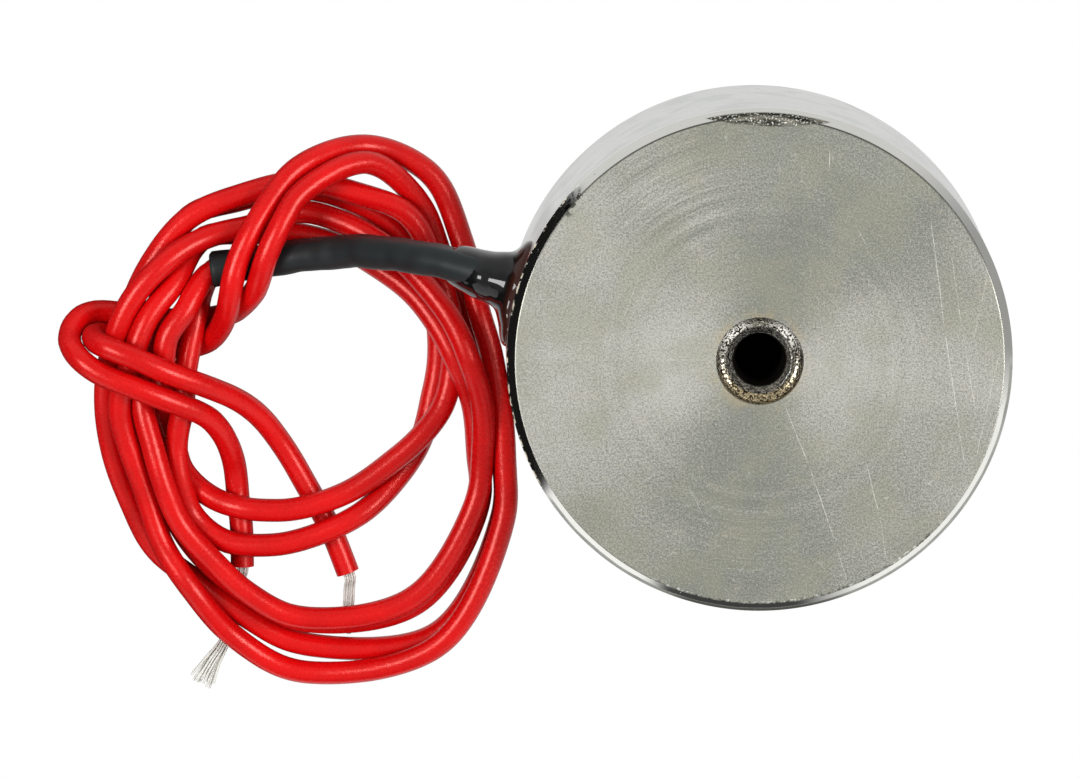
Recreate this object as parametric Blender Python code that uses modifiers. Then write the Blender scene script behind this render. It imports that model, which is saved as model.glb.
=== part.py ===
"""Holding electromagnet: a steel pot round a wound coil, with two free leads in a loose coil beside it.

Metres, +Z up. The holding face lies on z = 0 and the pot's axis is the Z axis.
"""

from math import cos, pi, radians, sin, sqrt

import bmesh
import bpy
import numpy as np
from mathutils import Matrix, Vector

MM = 0.001

# Pot: one turned piece of steel, a cup with a core standing in the middle of it
POT_D = 34 * MM
POT_H = 18 * MM
POT_WALL = 2.5 * MM
POT_BACK = 3.5 * MM
CORE_D = 14 * MM
RIM_CHAMFER = 0.57 * MM
FOOT_CHAMFER = 0.3 * MM
CORE_CHAMFER = 0.3 * MM

# Threaded hole in the middle of the back, with a hollow countersink
HOLE_D = 3.6 * MM
HOLE_DEPTH = 9 * MM
THREAD_CHAMFER = 0.48 * MM
SINK_D = 5.76 * MM
SINK_DEPTH = 0.5 * MM

# Room that a piece inside the pot keeps to the next one
FIT = 0.15 * MM

# Bobbin, its winding and the resin that closes the pot. Over the bobbin is room for the joins.
JOIN_ROOM = 4.6 * MM
BOBBIN_WALL = 0.8 * MM
FLANGE = 0.8 * MM
NOTCH_W = 1.4 * MM
TAPE = 0.25 * MM
RESIN_SUNK = 0.2 * MM
RESIN_T = 0.95 * MM

# Leads and the sleeve that holds the two together at the pot
LEAD_D = 1.6 * MM
LEAD_STACK = 1.7 * MM
SLEEVE_W = 2.1 * MM
SLEEVE_WALL = 0.14 * MM
EXIT_D = 4.3 * MM
EXIT_Z = POT_H - POT_BACK - 2.2 * MM
EXIT_AZIMUTH = radians(163.9)

# Joins of leads and winding wire inside the pot
SPLICE_D = 1.0 * MM
SPLICE_L = 2.6 * MM
SPLICE_SLEEVE_WALL = 0.3 * MM
WIRE_D = 0.35 * MM
JOIN_GAP = 0.15 * MM
SPLICE_RING_D = CORE_D / 2 + POT_D / 2 - POT_WALL
SPLICE_Z = EXIT_Z - 0.1 * MM

# Glue round the sleeve where it enters the pot
GLUE_SIZE = (3.2 * MM, 3.1 * MM, 3.8 * MM)
GLUE_Z = EXIT_Z + 0.3 * MM

# Bare strands at the far end of each lead
STRAND_D = 0.15 * MM
STRAND_PITCH = 0.175 * MM
STRAND_COUNT = 17
STRAND_COLUMNS = 5

# The free leads lie in three turns round this point. Each line holds an angle in degrees, then
# the distance from the middle and the height in millimetres of lead 1 and lead 2 in each turn.
COIL_MIDDLE = (-31.0 * MM, -4.8 * MM)
TURNS = (
    (135, (10.3, 3.9), (9.5, 2.3), (14.05, 2.5), (12.3, 1.8), (11.85, 3.5), (13.4, 4.0)),
    (150, (10.25, 4.2), (8.6, 2.6), (13.2, 2.55), (11.1, 2.55), (12.0, 4.2), (13.65, 4.2)),
    (165, (9.6, 3.8), (8.35, 2.75), (12.3, 2.05), (10.75, 2.65), (11.9, 4.0), (13.5, 3.7)),
    (180, (9.4, 1.85), (8.3, 3.1), (10.85, 1.2), (10.55, 3.4), (12.2, 3.4), (13.35, 2.25)),
    (195, (9.1, 1.05), (9.0, 2.7), (10.75, 0.95), (10.3, 3.7), (11.85, 2.95), (13.3, 1.6)),
    (210, (9.4, 0.85), (9.7, 2.5), (11.0, 0.9), (10.65, 3.8), (12.05, 2.6), (13.5, 0.95)),
    (225, (9.0, 1.5), (10.6, 2.0), (12.0, 1.0), (11.45, 3.4), (13.25, 2.6), (14.15, 0.95)),
    (240, (8.2, 2.45), (10.7, 2.2), (12.9, 1.9), (12.15, 3.35), (14.5, 3.0), (14.2, 1.6)),
    (255, (7.55, 2.5), (9.95, 2.45), (13.85, 1.95), (13.4, 3.5), (16.6, 1.7), (15.15, 1.6)),
    (270, (7.15, 2.5), (9.25, 2.45), (15.1, 1.75), (14.6, 3.3), (18.4, 1.2), (16.7, 1.45)),
    (300, (6.9, 2.45), (8.55, 2.3), (15.95, 1.65), (15.35, 3.1), (19.0, 2.5), (18.6, 0.95)),
    (330, (7.6, 2.5), (8.55, 0.95), (14.1, 0.9), (13.8, 2.5), (16.0, 2.45), (15.8, 0.85)),
    (345, (8.65, 2.5), (8.8, 0.85), (12.5, 1.0), (12.9, 2.65), (14.45, 2.45), (14.2, 0.85)),
    (360, (10.0, 2.2), (9.1, 0.85), (11.7, 2.1), (12.4, 3.6), (13.75, 2.5), (13.5, 0.85)),
    (375, (10.95, 2.1), (9.95, 0.85), (11.1, 3.75), (11.95, 4.9), (13.6, 2.5), (13.4, 0.85)),
    (390, (12.0, 2.15), (11.0, 0.85), (10.9, 3.4), (11.9, 4.7), (13.9, 2.4), (13.3, 0.85)),
    (405, (13.2, 2.3), (12.2, 0.85), (10.85, 2.6), (11.9, 3.9), (15.55, 1.0), (13.95, 0.85)),
    (420, (15.0, 2.45), (13.45, 0.85), (10.75, 1.75), (12.2, 2.6), (17.95, 0.85), (16.15, 1.1)),
    (435, (15.05, 2.4), (14.15, 0.85), (11.0, 0.95), (12.6, 1.4), (18.2, 1.15), (17.5, 2.65)),
    (450, (15.3, 2.4), (14.55, 0.85), (11.35, 0.85), (12.95, 0.9), (16.35, 3.8), (15.1, 4.7)),
    (465, (14.95, 2.4), (14.25, 0.9), (11.75, 0.9), (12.5, 2.35)),
    (480, (14.9, 2.45), (14.45, 0.9), (12.85, 1.2), (13.0, 2.85)),
)

# After its turns each lead winds once round the bundle and runs out below. Millimetres.
WRAP_1 = (
    (-33.6, 8.5, 4.7), (-34.5, 7.0, 5.0), (-35.3, 5.3, 5.0), (-35.7, 3.8, 4.9), (-36.0, 2.3, 4.1),
    (-36.8, 0.6, 2.5), (-38.0, -0.5, 1.0), (-40.2, -0.8, 0.85), (-42.6, -0.5, 0.85),
    (-44.1, 0.0, 1.3), (-44.9, 0.1, 2.8), (-44.8, -0.2, 4.4), (-43.8, -0.6, 5.6),
    (-41.9, -1.3, 5.95), (-40.2, -2.1, 5.8), (-38.5, -2.8, 5.2), (-36.9, -3.5, 4.3),
    (-35.2, -4.4, 3.2), (-33.8, -5.6, 2.1), (-32.6, -7.2, 1.2), (-31.6, -8.8, 0.85),
    (-30.6, -10.6, 0.85), (-29.7, -12.2, 0.85), (-28.8, -14.0, 0.85), (-27.8, -16.6, 0.85),
)
WRAP_2 = (
    (-32.4, 8.1, 5.4), (-33.1, 6.6, 5.5), (-33.6, 5.2, 5.3), (-34.0, 3.7, 4.4), (-34.8, 2.4, 3.1),
    (-35.7, 1.4, 1.6), (-37.3, 0.8, 0.9), (-40.0, 0.6, 0.85), (-42.9, 0.9, 0.85),
    (-44.6, 1.1, 1.2), (-45.9, 0.7, 2.2), (-46.4, -0.5, 3.8), (-45.7, -1.6, 5.2),
    (-44.3, -2.6, 5.7), (-42.5, -3.3, 5.8), (-40.6, -4.1, 5.6), (-38.8, -4.9, 4.9),
    (-37.5, -5.6, 4.1), (-36.6, -6.7, 3.2), (-36.0, -8.2, 2.0), (-35.7, -9.8, 1.05),
    (-35.6, -11.6, 0.85), (-35.4, -13.7, 0.85), (-35.4, -16.6, 0.85),
)

# Middle line of the sleeve outside the pot, and of each bunch of bare strands. Millimetres. The
# last number of a bunch's point says how far the strands fan out there.
SLEEVE_ROUTE = (
    (-18.8, 5.4, 12.2), (-20.1, 5.7, 11.7), (-21.5, 6.0, 10.9), (-22.8, 6.1, 9.9),
    (-24.2, 6.2, 8.7), (-25.6, 6.2, 7.5), (-26.9, 6.2, 6.3), (-28.3, 6.0, 5.2), (-29.7, 5.8, 4.3),
    (-31.1, 5.6, 3.6), (-32.4, 5.3, 3.0), (-33.8, 5.1, 2.55), (-35.2, 4.8, 2.25),
    (-37.0, 4.5, 2.1),
)
TAIL_1 = (
    (-27.8, -17.6, 0.55, 1.0), (-27.8, -18.6, 0.38, 1.0), (-27.9, -20.0, 0.38, 1.0),
    (-28.0, -20.9, 0.38, 1.0),
)
TAIL_2 = (
    (-35.5, -17.5, 0.55, 1.0), (-35.7, -18.6, 0.38, 1.0), (-36.0, -20.0, 0.38, 1.0),
    (-36.3, -21.4, 0.38, 1.0), (-37.2, -22.9, 0.38, 1.5), (-38.0, -24.4, 0.38, 2.3),
)

# Round shapes have this many sides, and those out of sight fewer
SIDES = 64
INNER_SIDES = 48


def clear_scene():
    for thing in list(bpy.data.objects):
        bpy.data.objects.remove(thing)


def new_collection(name):
    collection = bpy.data.collections.new(name)
    bpy.context.scene.collection.children.link(collection)
    return collection


def material(name, colour, roughness, metallic=0.0):
    made = bpy.data.materials.new(name)
    made.use_nodes = True
    shader = made.node_tree.nodes["Principled BSDF"]
    shader.inputs["Base Color"].default_value = (*colour, 1.0)
    shader.inputs["Roughness"].default_value = roughness
    shader.inputs["Metallic"].default_value = metallic
    return made


def mesh_object(name, mesh, finish, collection):
    made = bpy.data.objects.new(name, mesh)
    collection.objects.link(made)
    if finish:
        mesh.materials.append(finish)
    return made


def turned(name, profile, finish, collection, sides=SIDES):
    """A solid of revolution round Z from (radius, height) points, down the outside."""
    mesh = bpy.data.meshes.new(name)
    points = [(r, 0.0, z) for r, z in profile]
    on_axis = profile[0][0] == 0.0 and profile[-1][0] == 0.0
    edges = [(i, i + 1) for i in range(len(points) - 1)]
    if not on_axis:
        edges.append((len(points) - 1, 0))
    mesh.from_pydata(points, edges, [])
    made = mesh_object(name, mesh, finish, collection)
    screw = made.modifiers.new("Turn", "SCREW")
    screw.steps = sides
    screw.render_steps = sides
    screw.use_merge_vertices = True
    screw.merge_threshold = 0.000001
    screw.use_smooth_shade = False
    return made


def tube(name, points, radius, finish, collection, resolution=2):
    """A round wire or lead along the points."""
    curve = bpy.data.curves.new(name, "CURVE")
    curve.dimensions = "3D"
    curve.bevel_depth = radius
    curve.bevel_resolution = resolution
    curve.use_fill_caps = True
    spline = curve.splines.new("POLY")
    spline.points.add(len(points) - 1)
    for point, place in zip(spline.points, points):
        point.co = (*place, 1.0)
    made = bpy.data.objects.new(name, curve)
    collection.objects.link(made)
    if finish:
        curve.materials.append(finish)
    return made


def cut(thing, cutter):
    boolean = thing.modifiers.new("Cut " + cutter.name, "BOOLEAN")
    boolean.operation = "DIFFERENCE"
    boolean.solver = "EXACT"
    boolean.object = cutter


def cylinder(name, radius, length, place, direction, collection, finish=None, sides=32):
    """A cylinder centred on a point, its axis along a direction."""
    mesh = bpy.data.meshes.new(name)
    shape = bmesh.new()
    bmesh.ops.create_cone(shape, cap_ends=True, segments=sides, radius1=radius, radius2=radius, depth=length)
    shape.to_mesh(mesh)
    shape.free()
    made = mesh_object(name, mesh, finish, collection)
    made.rotation_mode = "QUATERNION"
    made.rotation_quaternion = Vector(direction).to_track_quat("Z", "Y")
    made.location = place
    return made


def as_guide(thing):
    thing.hide_render = True
    thing.display_type = "WIRE"


def smooth(points, per_span=8):
    """Points along a smooth curve through the given ones (centripetal Catmull-Rom)."""
    p = np.array(points, float)
    p = np.vstack([2 * p[0] - p[1], p, 2 * p[-1] - p[-2]])
    line = []
    for a, b, c, d in zip(p[:-3], p[1:-2], p[2:-1], p[3:]):
        t1 = sqrt(np.linalg.norm(b - a))
        t2 = t1 + sqrt(np.linalg.norm(c - b))
        t3 = t2 + sqrt(np.linalg.norm(d - c))
        for t in np.linspace(t1, t2, per_span, endpoint=False):
            ab = a + (b - a) * t / t1
            bc = b + (c - b) * (t - t1) / (t2 - t1)
            cd = c + (d - c) * (t - t2) / (t3 - t2)
            abc = ab + (bc - ab) * t / t2
            bcd = bc + (cd - bc) * (t - t1) / (t3 - t1)
            line.append(abc + (bcd - abc) * (t - t1) / (t2 - t1))
    line.append(p[-2])
    return np.array(line)


def distances(line):
    steps = np.linalg.norm(np.diff(line, axis=0), axis=1)
    return np.concatenate([[0.0], np.cumsum(steps)])


def spaced(line, most, least, sag):
    """Points of a line, at most one spacing apart and closer together where it bends."""
    along = distances(line)
    fine = np.linspace(0.0, along[-1], int(along[-1] / (0.25 * MM)))
    line = np.column_stack([np.interp(fine, along, line[:, i]) for i in range(3)])
    heading = np.gradient(line, fine, axis=0)
    heading /= np.linalg.norm(heading, axis=1)[:, None]
    bend = np.linalg.norm(np.gradient(heading, fine, axis=0), axis=1)
    bend = np.convolve(np.pad(bend, 6, mode="edge"), np.ones(13) / 13, "valid")
    spacing = np.clip(np.sqrt(8 * sag / np.maximum(bend, 1e-6)), least, most)
    count = distances(np.cumsum(1 / spacing)[:, None]) * (fine[1] - fine[0])
    at = np.interp(np.linspace(0.0, count[-1], int(round(count[-1])) + 1), count, fine)
    return np.column_stack([np.interp(at, fine, line[:, i]) for i in range(3)])


def settle(lines, held, fixed, apart, fixed_apart, rounds=220, per_span=4):
    """Press crossing leads apart until each clears the others, the sleeve, the floor and the pot.

    The first points of each line, as many as held says, stay where they are.
    """
    start = np.vstack(lines)
    ends = np.cumsum([0] + [len(line) for line in lines])
    weights, owner, along = [], [], []
    for k, line in enumerate(lines):
        reach = distances(line)
        for i in range(len(line) - 1):
            for f in np.arange(per_span) / per_span:
                row = np.zeros(len(start))
                row[ends[k] + i] = 1 - f
                row[ends[k] + i + 1] = f
                weights.append(row)
                owner.append(k)
                along.append(reach[i] * (1 - f) + reach[i + 1] * f)
    weights, owner, along = np.array(weights), np.array(owner), np.array(along)
    others = (owner[:, None] != owner[None]) | (np.abs(along[:, None] - along[None]) > 5.5 * MM)
    places = start.copy()
    for _ in range(rounds):
        at = weights @ places
        off = at[:, None] - at[None]
        gap = np.maximum(np.linalg.norm(off, axis=2), 1e-9)
        short = np.where(others & (gap < apart), apart / gap - 1.0, 0.0)
        push = (off * short[..., None]).sum(1) * 0.175
        off = at[:, None] - fixed[None]
        gap = np.maximum(np.linalg.norm(off, axis=2), 1e-9)
        short = np.where(gap < fixed_apart, fixed_apart / gap - 1.0, 0.0)
        push += (off * short[..., None]).sum(1) * 0.175
        moved = places + weights.T @ push * 0.6 - start
        for k, (a, b) in enumerate(zip(ends[:-1], ends[1:])):
            part = moved[a:b]
            part[1:-1] += 0.1 * (part[:-2] + part[2:] - 2 * part[1:-1])
            part[: held[k]] = 0.0
        places = start + moved
        places[:, 2] = np.maximum(places[:, 2], 0.82 * MM)
        from_axis = np.linalg.norm(places[:, :2], axis=1)
        out = np.maximum((POT_D / 2 + LEAD_D / 2 + 0.1 * MM) / from_axis, 1.0)
        for k, (a, b) in enumerate(zip(ends[:-1], ends[1:])):
            out[a : a + held[k]] = 1.0
        places[:, :2] *= out[:, None]
    return [places[a:b] for a, b in zip(ends[:-1], ends[1:])]


def beside(line, offset):
    """The line moved by an offset at right angles to itself, within upright planes."""
    heading = np.gradient(line, axis=0)
    heading /= np.linalg.norm(heading, axis=1)[:, None]
    side = np.cross(heading, (0.0, 0.0, 1.0))
    side /= np.linalg.norm(side, axis=1)[:, None]
    return line + offset * np.cross(side, heading)


def sleeve_line():
    """Middle of the sleeve: through the exit hole, then along its route."""
    wall = [POT_D / 2 - POT_WALL - FIT, POT_D / 2 + 0.4 * MM]
    start = [(r * cos(EXIT_AZIMUTH), r * sin(EXIT_AZIMUTH), EXIT_Z) for r in wall]
    return np.array(start + [tuple(v * MM for v in point) for point in SLEEVE_ROUTE])


def inner_end(turn):
    """Points of a lead inside the pot, from its splice to the exit hole. turn is 1 or -1."""
    ring = SPLICE_RING_D / 2
    points = []
    for degrees, lift in ((50, 0.0), (38, 0.0), (26, 0.35), (14, 0.75)):
        angle = EXIT_AZIMUTH - turn * radians(degrees)
        r = ring + (26 - min(degrees, 26)) * 0.07 * MM
        points.append((r * cos(angle), r * sin(angle), SPLICE_Z + turn * lift * LEAD_STACK / 2))
    return points


def lead_points(turn, columns, wrap):
    """All route points of one lead, and the numbers of the first and last ones in the sleeve."""
    inside = inner_end(turn)
    stacked = beside(sleeve_line(), turn * LEAD_STACK / 2)
    points = inside + [tuple(p) for p in stacked]
    for column in columns:
        for line in TURNS:
            if column < len(line):
                r, z = line[column]
                angle = radians(line[0])
                x = COIL_MIDDLE[0] + r * MM * cos(angle)
                y = COIL_MIDDLE[1] + r * MM * sin(angle)
                points.append((x, y, z * MM))
    points += [tuple(v * MM for v in p) for p in wrap]
    return points, len(inside), len(inside) + len(stacked) - 1


def sleeve_stations():
    """Evenly spaced points on the sleeve's middle line."""
    return spaced(smooth(sleeve_line()), 1.6 * MM, 1.2 * MM, 0.05 * MM)


def lead_lines():
    """Both leads as lines of points that clear each other."""
    middle = sleeve_stations()
    # The leads run straight on for a little past both ends of the sleeve
    before, after = (middle[0] - middle[1]) / 2, (middle[-1] - middle[-2]) / 2
    middle = np.vstack([middle[0] + before, middle, middle[-1] + after])
    lines, held = [], []
    for turn, columns, wrap in ((1, (1, 3, 5), WRAP_1), (-1, (2, 4, 6), WRAP_2)):
        points, first, last = lead_points(turn, columns, wrap)
        whole = smooth(points)
        reach = distances(whole)
        line = spaced(whole, 3.6 * MM, 1.5 * MM, 0.14 * MM)
        along = distances(line)
        inside = line[along < reach[first * 8] - 1.8 * MM]
        free = line[along > reach[last * 8] + 2.0 * MM]
        stacked = beside(middle, turn * LEAD_STACK / 2)
        lines.append(np.vstack([inside, stacked, free]))
        held.append(len(inside) + len(stacked))
    fixed = [beside(middle, offset) for offset in (-LEAD_STACK / 2, 0.0, LEAD_STACK / 2)]
    return settle(lines, held, np.vstack(fixed), 1.1 * LEAD_D, 2.05 * MM)


def pot(finish, collection, cutters):
    """Cup, core and back in one, with the hole for the leads through its wall."""
    outer, core = POT_D / 2, CORE_D / 2
    inner = outer - POT_WALL
    hole, sink = HOLE_D / 2, SINK_D / 2
    mouth = hole + THREAD_CHAMFER
    profile = [(0.0, POT_H - HOLE_DEPTH), (hole, POT_H - HOLE_DEPTH)]
    profile.append((hole, POT_H - SINK_DEPTH - THREAD_CHAMFER))
    for i in range(6):
        a = i / 5 * pi / 2
        profile.append((mouth + (sink - mouth) * sin(a), POT_H - SINK_DEPTH * cos(a)))
    profile += [
        (outer - RIM_CHAMFER, POT_H),
        (outer, POT_H - RIM_CHAMFER),
        (outer, FOOT_CHAMFER),
        (outer - FOOT_CHAMFER, 0.0),
        (inner, 0.0),
        (inner, POT_H - POT_BACK),
        (core, POT_H - POT_BACK),
        (core, CORE_CHAMFER),
        (core - CORE_CHAMFER, 0.0),
        (0.0, 0.0),
    ]
    made = turned("pot", profile, finish, collection)
    direction = (cos(EXIT_AZIMUTH), sin(EXIT_AZIMUTH), 0.0)
    middle = outer - POT_WALL / 2
    place = (middle * direction[0], middle * direction[1], EXIT_Z)
    drill = cylinder("exit_hole", EXIT_D / 2, 2 * POT_WALL, place, direction, cutters, sides=24)
    as_guide(drill)
    cut(made, drill)
    return made


def coil_parts(finishes, collection, cutters):
    """Bobbin, winding, tape and the resin ring, one inside the other round the core."""
    core, inner = CORE_D / 2, POT_D / 2 - POT_WALL
    resin_top = RESIN_SUNK + RESIN_T
    low = resin_top + FIT
    high = POT_H - POT_BACK - JOIN_ROOM
    bore, rim = core + FIT, inner - FIT
    barrel = bore + BOBBIN_WALL
    profile = [
        (bore, high),
        (rim, high),
        (rim, high - FLANGE),
        (barrel, high - FLANGE),
        (barrel, low + FLANGE),
        (rim, low + FLANGE),
        (rim, low),
        (bore, low),
    ]
    bobbin = turned("bobbin", profile, finishes["nylon"], collection, INNER_SIDES)
    # Two notches in the upper flange let the ends of the winding through
    for name, angle, r in (("start_notch", 225, barrel + 0.9 * MM), ("finish_notch", 100, rim - 1.0 * MM)):
        a = radians(angle)
        place = (r * cos(a), r * sin(a), high - FLANGE / 2)
        drill = cylinder(name, NOTCH_W / 2, 2 * FLANGE, place, (0, 0, 1), cutters, sides=16)
        as_guide(drill)
        cut(bobbin, drill)
    wound_in = barrel + FIT
    wound_out = rim - TAPE - 3 * FIT
    wound_top, wound_low = high - FLANGE - FIT, low + FLANGE + FIT
    ring("winding", wound_in, wound_out, wound_low, wound_top, finishes["copper"], collection)
    ring("winding_tape", wound_out + FIT, wound_out + FIT + TAPE, wound_low, wound_top, finishes["tape"], collection)
    ring("potting_resin", core + FIT, inner - FIT, RESIN_SUNK, resin_top, finishes["resin"], collection)
    return barrel, rim, high, wound_top


def ring(name, inner, outer, low, high, finish, collection, sides=INNER_SIDES):
    profile = [(inner, high), (outer, high), (outer, low), (inner, low)]
    return turned(name, profile, finish, collection, sides)


def splices(finishes, collection, barrel, rim, flange_top, wound_top):
    """On each lead's inner end a soldered joint in its own sleeve, and the winding wire to it."""
    ring_r = SPLICE_RING_D / 2
    step = (SPLICE_L + LEAD_D / 2) / ring_r
    for turn, word, drop_angle, drop_r in (
        (1, "start", 100, rim - 1.0 * MM),
        (-1, "finish", 225, barrel + 0.9 * MM),
    ):
        end = EXIT_AZIMUTH - turn * radians(50)
        joint_angle = end - turn * (SPLICE_L / 2 + JOIN_GAP) / ring_r
        place = Vector((ring_r * cos(joint_angle), ring_r * sin(joint_angle), SPLICE_Z))
        along = Vector((-sin(joint_angle), cos(joint_angle), 0.0)) * -turn
        cylinder(
            f"{word}_splice", SPLICE_D / 2, SPLICE_L, place, along, collection, finishes["solder"], 12
        )
        sleeve = ring(
            f"{word}_splice_sleeve",
            SPLICE_D / 2 + FIT,
            SPLICE_D / 2 + FIT + SPLICE_SLEEVE_WALL,
            -SPLICE_L / 2,
            SPLICE_L / 2,
            finishes["sleeve"],
            collection,
            sides=16,
        )
        sleeve.rotation_mode = "QUATERNION"
        sleeve.rotation_quaternion = along.to_track_quat("Z", "Y")
        sleeve.location = place
        leave = place + along * (SPLICE_L / 2 + JOIN_GAP)
        a = radians(drop_angle)
        foot = Vector((drop_r * cos(a), drop_r * sin(a), wound_top + FIT))
        knee = Vector((foot.x, foot.y, flange_top + 0.6 * MM))
        bend = leave + along * 1.0 * MM
        route = smooth([leave, leave + along * 0.4 * MM, bend, (bend + knee) / 2, knee, foot], 3)
        tube(f"{word}_wire", route, WIRE_D / 2, finishes["copper"], collection, 1)


def obround(name, width, height, collection):
    """A flat closed curve with straight sides and round ends, drawn in XY."""
    curve = bpy.data.curves.new(name, "CURVE")
    curve.dimensions = "2D"
    spline = curve.splines.new("POLY")
    r = width / 2
    reach = height / 2 - r
    points = []
    for sign, first in ((1, 0.0), (-1, pi)):
        for i in range(7):
            a = first + i / 6 * pi
            points.append((r * cos(a), sign * reach + r * sin(a), 0.0))
    spline.points.add(len(points) - 1)
    for point, place in zip(spline.points, points):
        point.co = (*place, 1.0)
    spline.use_cyclic_u = True
    made = bpy.data.objects.new(name, curve)
    collection.objects.link(made)
    as_guide(made)
    return made


def swept(name, line, outline, collection, caps=False):
    """A curve with an outline swept along it, its height kept upright."""
    curve = bpy.data.curves.new(name, "CURVE")
    curve.dimensions = "3D"
    curve.twist_mode = "Z_UP"
    curve.bevel_mode = "OBJECT"
    curve.bevel_object = outline
    curve.use_fill_caps = caps
    spline = curve.splines.new("POLY")
    spline.points.add(len(line) - 1)
    for point, place in zip(spline.points, line):
        point.co = (*place, 1.0)
    made = bpy.data.objects.new(name, curve)
    collection.objects.link(made)
    return made


def to_mesh(thing, collection, finish=None):
    """Replace a curve object by its mesh, with its caps welded and its faces pointing out."""
    bpy.context.view_layer.update()
    graph = bpy.context.evaluated_depsgraph_get()
    mesh = bpy.data.meshes.new_from_object(thing.evaluated_get(graph))
    shape = bmesh.new()
    shape.from_mesh(mesh)
    bmesh.ops.remove_doubles(shape, verts=shape.verts, dist=0.000001)
    bmesh.ops.recalc_face_normals(shape, faces=shape.faces)
    shape.to_mesh(mesh)
    shape.free()
    name = thing.name
    place = thing.matrix_world.copy()
    bpy.data.objects.remove(thing)
    mesh.materials.clear()
    made = mesh_object(name, mesh, finish, collection)
    made.matrix_world = place
    return made


def sleeve_and_glue(finishes, collection, cutters):
    """The heat-shrunk sleeve over both leads, and the glue that holds it in the exit hole."""
    line = sleeve_stations()
    height = SLEEVE_W + LEAD_STACK
    skin = obround("sleeve_outline", SLEEVE_W, height, cutters)
    sleeve = to_mesh(swept("heat_shrink_sleeve", line, skin, collection), collection, finishes["sleeve"])
    wall = sleeve.modifiers.new("Wall", "SOLIDIFY")
    wall.thickness = SLEEVE_WALL
    wall.offset = -1.0
    wall.use_even_offset = True

    room = obround("sleeve_room_outline", SLEEVE_W + 2 * FIT, height + 2 * FIT, cutters)
    room_cutter = to_mesh(swept("sleeve_room", line, room, cutters, True), cutters)
    as_guide(room_cutter)

    outer = POT_D / 2
    mesh = bpy.data.meshes.new("adhesive")
    shape = bmesh.new()
    bmesh.ops.create_uvsphere(shape, u_segments=24, v_segments=16, radius=1.0)
    bmesh.ops.transform(shape, matrix=Matrix.Diagonal((*GLUE_SIZE, 1.0)), verts=shape.verts)
    bmesh.ops.transform(shape, matrix=Matrix.Rotation(EXIT_AZIMUTH, 4, "Z"), verts=shape.verts)
    place = Vector((outer * cos(EXIT_AZIMUTH), outer * sin(EXIT_AZIMUTH), GLUE_Z))
    bmesh.ops.translate(shape, vec=place, verts=shape.verts)
    shape.to_mesh(mesh)
    shape.free()
    glue = mesh_object("adhesive", mesh, finishes["glue"], collection)
    drum = cylinder("wall_room", outer + FIT, 2 * POT_H, (0, 0, POT_H / 2), (0, 0, 1), cutters, sides=128)
    as_guide(drum)
    cut(glue, drum)
    cut(glue, room_cutter)
    return sleeve


def strand_places():
    """Where each strand stands in the round bunch, column by column, as (across, up)."""
    places = []
    for column in range(STRAND_COLUMNS):
        rows = 3 + column % 2
        for row in range(rows):
            across = (column - (STRAND_COLUMNS - 1) / 2) * STRAND_PITCH * 0.9
            places.append((across, (row - (rows - 1) / 2) * STRAND_PITCH))
    return places[:STRAND_COUNT]


def strands(number, lead_line, tail, finish, collection):
    """The bare strands of a lead, in a round bunch that fans out as its route says."""
    end, before = Vector(lead_line[-1]), Vector(lead_line[-2])
    heading = (end - before).normalized()
    side = Vector((heading.y, -heading.x, 0.0)).normalized()
    route = [Vector([v * MM for v in point[:3]]) for point in tail]
    for k, (across, up) in enumerate(strand_places()):
        points = [end + heading * JOIN_GAP + side * across + Vector((0, 0, up))]
        points.append(points[0] + heading * 0.3 * MM)
        for i, (middle, point) in enumerate(zip(route, tail)):
            onward = route[min(i + 1, len(route) - 1)] - route[max(i - 1, 0)]
            turn = Vector((onward.y, -onward.x, 0.0)).normalized()
            points.append(middle + turn * across * point[3] + Vector((0, 0, up)))
        last = points[-1] - points[-2]
        points[-1] = points[-2] + last * (1 - 0.07 * ((7 * k) % 5))
        tube(f"lead_{number}_strand_{k + 1:02d}", points, STRAND_D / 2, finish, collection, 1)


def main():
    clear_scene()
    parts = new_collection("holding_electromagnet")
    cutters = new_collection("cutters")
    finishes = {
        "steel": material("turned_steel", (0.38, 0.385, 0.35), 0.32, 1.0),
        "nylon": material("bobbin_nylon", (0.62, 0.60, 0.52), 0.5),
        "copper": material("enamelled_copper", (0.60, 0.24, 0.10), 0.35, 1.0),
        "tape": material("winding_tape", (0.75, 0.62, 0.20), 0.45),
        "resin": material("potting_resin", (0.02, 0.02, 0.022), 0.3),
        "solder": material("solder", (0.62, 0.62, 0.62), 0.35, 1.0),
        "sleeve": material("heat_shrink", (0.020, 0.026, 0.028), 0.55),
        "glue": material("black_epoxy", (0.012, 0.010, 0.010), 0.12),
        "red": material("red_insulation", (0.62, 0.012, 0.016), 0.32),
        "tin": material("tinned_copper", (0.60, 0.58, 0.54), 0.3, 1.0),
    }
    pot(finishes["steel"], parts, cutters)
    barrel, rim, flange_top, wound_top = coil_parts(finishes, parts, cutters)
    splices(finishes, parts, barrel, rim, flange_top, wound_top)
    sleeve_and_glue(finishes, parts, cutters)
    for number, line, tail in zip((1, 2), lead_lines(), (TAIL_1, TAIL_2)):
        tube(f"lead_{number}", line, LEAD_D / 2, finishes["red"], parts)
        strands(number, line, tail, finishes["tin"], parts)


main()
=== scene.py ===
"""Looks of a holding electromagnet: a steel pot, two red leads in a loose coil, sleeve and glue."""

from math import cos, pi, radians, sin, sqrt

import bmesh
import bpy
import numpy as np
from mathutils import Matrix, Vector


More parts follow.
